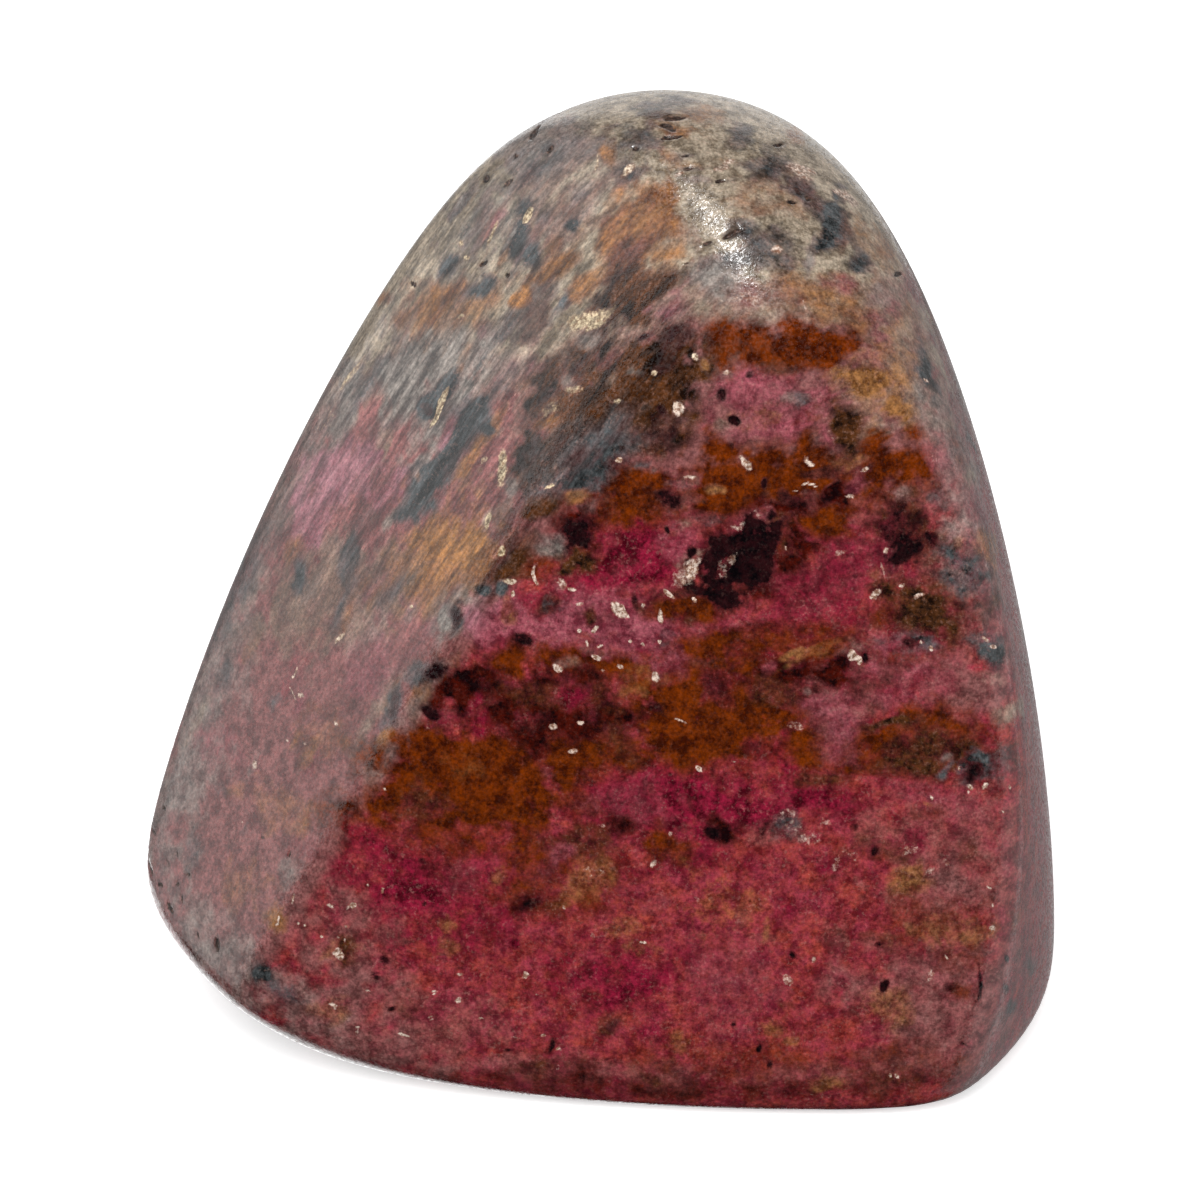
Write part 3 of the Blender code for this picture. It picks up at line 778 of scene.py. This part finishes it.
crumbs = sum_node(tree, "MULTIPLY_ADD", fine_a, 0.3, sum_node(tree, "MULTIPLY", tone_c, 0.7))
rock_cream = mottled(fine_b, (134, 108, 80), (220, 200, 166))
cream_colour = blend_colours(tree, drawn, mottled(fine_b, (144, 106, 86), (232, 210, 194)), rock_cream)
# On the left face the pink is a paler, greyer copy of the same pink: painted sheen of the light on that
# face.
pink_colour = blend_colours(tree, drawn, mottled(tone_b, (104, 36, 48), (166, 84, 96)),
                            mottled(tone_b, (116, 66, 74), (176, 122, 132)))
coats = (
    ("pink", edge_b, 2.0, 1.4, pink_colour),
    ("crimson", edge_c, 2.0, 1.3, mottled(tone_c, (72, 2, 18), (148, 26, 56))),
    ("mauve", edge_b, 2.0, 1.4, mottled(tone_a, (98, 56, 55), (150, 95, 93))),
    ("drab", edge_a, 2.0, 1.3, mottled(tone_b, (114, 100, 84), (182, 166, 146))),
    ("ash", edge_c, 2.0, 1.3, mottled(tone_a, (88, 80, 76), (160, 150, 142))),
    ("rust", edge_a, 2.0, 1.3, mottled(tone_c, (60, 15, 0), (117, 46, 1))),
    ("wine", edge_b, 2.0, 1.2, mottled(tone_b, (20, 1, 3), (74, 14, 4))),
    ("ochre", edge_b, 2.0, 1.2, mottled(tone_a, (92, 54, 25), (163, 112, 66))),
    ("umber", edge_c, 2.0, 1.2, mottled(tone_b, (24, 10, 5), (88, 50, 24))),
    ("slate", edge_b, 2.2, 1.1, mottled(tone_c, (24, 27, 28), (86, 90, 92))),
    ("black", edge_a, 2.6, 1.0, mottled(tone_a, (5, 1, 4), (40, 10, 14))),
    ("cream", crumbs, 2.6, 0.6, cream_colour),
    ("pit", fine_b, 0.7, 0.5, mottled(fine_c, (26, 16, 12), (70, 50, 40))),
)
cool_rose = mottled(tone_a, (110, 26, 42), (162, 58, 73))
warm_rose = mottled(tone_a, (106, 26, 26), (168, 67, 57))
colour = blend_colours(tree, spread_out(tree, edge_b, 0.38, 0.62), cool_rose, warm_rose)
# Where the host layer lies, the base turns a greyer mauve: partly the host rock, partly painted sheen on the
# top and the left face.
colour = blend_colours(tree, host_rock_and_sheen, colour, mottled(tone_c, (96, 62, 58), (150, 104, 98)))
masks = {}
for mineral, speckle, spread, softness, own_colour in coats:
    edge = tree.nodes.new("ShaderNodeGroup")
    edge.node_tree = crumbled
    edge.inputs["Spread"].default_value = spread
    edge.inputs["Softness"].default_value = softness
    tree.links.new(amount_of(mineral), edge.inputs["Amount"])
    tree.links.new(speckle, edge.inputs["Speckle"])
    masks[mineral] = edge.outputs["Mask"]
    colour = blend_colours(tree, masks[mineral], colour, own_colour)
salt = sum_node(tree, "MULTIPLY", spread_out(tree, fine_c, 0.54, 0.66), spread_out(tree, tone_b, 0.42, 0.62))
stained = sum_node(tree, "MAXIMUM", masks["black"], sum_node(tree, "MAXIMUM", masks["rust"], masks["wine"]))
salt = sum_node(tree, "MULTIPLY", salt, sum_node(tree, "MULTIPLY_ADD", stained, -0.13, 0.16))
colour = blend_colours(tree, salt, colour, rgb(214, 166, 152))
grain = spread_out(tree, fine_a, 0.32, 0.68, 0.68, 1.32)
strokes = noise_node(tree, drawn_place.outputs["Vector"], 1900, 2, 0.7).outputs["Fac"]
combing = sum_node(tree, "MULTIPLY_ADD", spread_out(tree, strokes, 0.38, 0.62, -0.36, 0.4), drawn, 1)
grainy = tree.nodes.new("ShaderNodeVectorMath")
grainy.operation = "SCALE"
tree.links.new(colour, grainy.inputs[0])
tree.links.new(sum_node(tree, "MULTIPLY", grain, combing), grainy.inputs["Scale"])
tree.links.new(grainy.outputs[0], shader.inputs["Base Color"])
shader.inputs["IOR"].default_value = 1.72
satin = spread_out(tree, fine_b, 0.44, 0.56, 0.06, 0.38)
tree.links.new(sum_node(tree, "MULTIPLY_ADD", masks["pit"], 0.3, satin), shader.inputs["Roughness"])
bump = tree.nodes.new("ShaderNodeBump")
bump.inputs["Strength"].default_value = 0.22
bump.inputs["Distance"].default_value = 0.0001
tree.links.new(fine_c, bump.inputs["Height"])
tree.links.new(bump.outputs["Normal"], shader.inputs["Normal"])
mesh.materials.append(polished)

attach(stone, "root")
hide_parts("stone")

# A plain pale floor, which only the camera sees: it neither tints the stone nor shows in
# its polish, because pale panels take that part.
floor_half = 0.4
ground = bmesh.new()
bmesh.ops.create_grid(ground, x_segments=1, y_segments=1, size=floor_half)
floor_mesh = bpy.data.meshes.new("floor")
ground.to_mesh(floor_mesh)
ground.free()
floor = bpy.data.objects.new("floor", floor_mesh)
floor.visible_glossy = False
floor.visible_diffuse = False
floor.visible_shadow = False
bpy.context.scene.collection.objects.link(floor)
pale = bpy.data.materials.new("pale_floor")
pale.use_nodes = True
matte = pale.node_tree.nodes["Principled BSDF"]
matte.inputs["Base Color"].default_value = (0.9, 0.9, 0.9, 1)
matte.inputs["Roughness"].default_value = 0.9
matte.inputs["Emission Color"].default_value = (1, 1, 1, 1)
seen = pale.node_tree.nodes.new("ShaderNodeLightPath").outputs["Is Camera Ray"]
glow = sum_node(pale.node_tree, "MULTIPLY", seen, 0.6)
pale.node_tree.links.new(glow, matte.inputs["Emission Strength"])
floor_mesh.materials.append(pale)

# Plain soft studio light: broad fills in front and behind bring out the colours, a small
# high light gives the sparkle near the top, and wide pale panels all round are mirrored in
# the polish of the side flats and veil them.
lit_place = Vector((0, 0, 0.03))


def soft_light(name, around, tilt, distance, width, height, power, diffuse=True, glossy=True):
    """A soft light in metres and watts, aimed at the stone from a heading and a tilt."""
    toward = Vector(heading(around, tilt))
    light = bpy.data.lights.new(name, "AREA")
    light.shape = "RECTANGLE"
    light.size = width
    light.size_y = height
    light.energy = power
    lamp = bpy.data.objects.new(name, light)
    lamp.location = lit_place + toward * distance
    lamp.rotation_euler = toward.to_track_quat("Z", "Y").to_euler()
    lamp.visible_diffuse = diffuse
    lamp.visible_glossy = glossy
    bpy.context.scene.collection.objects.link(lamp)


soft_light("front_fill", -8, 45, 0.6, 0.4, 0.3, 3.9, glossy=False)
soft_light("key", -30, 80, 0.6, 0.07, 0.15, 0.55, diffuse=False)
soft_light("left_panel", -95, 20, 0.5, 0.5, 1.0, 1.5, diffuse=False)
soft_light("right_panel", 80, -12, 0.5, 0.7, 1.2, 1.2)
soft_light("right_rear", 132, -12, 0.5, 0.5, 1.2, 0.6, diffuse=False)
soft_light("left_rear", -146, 0, 0.5, 0.5, 1.2, 0.7, diffuse=False)
soft_light("back_panel", 180, 12, 0.6, 0.45, 0.6, 0.7, diffuse=False)
soft_light("far_table", 180, -28, 0.5, 0.3, 0.2, 0.1, diffuse=False)
soft_light("back_fill", 176, 14, 0.6, 0.4, 0.3, 2.4, glossy=False)
soft_light("table_glow", -142, -50, 0.3, 0.25, 0.25, 0.34, diffuse=False)

world = bpy.data.worlds.new("studio")
bpy.context.scene.world = world
world.use_nodes = True
sky = world.node_tree
rays = sky.nodes.new("ShaderNodeLightPath").outputs
backdrop = sum_node(sky, "MULTIPLY_ADD", rays["Is Camera Ray"], 0.88, 0.12)
backdrop = sum_node(sky, "MULTIPLY_ADD", rays["Is Glossy Ray"], -0.1, backdrop)
sky.links.new(backdrop, sky.nodes["Background"].inputs["Color"])
bpy.context.scene.view_settings.view_transform = "Standard"
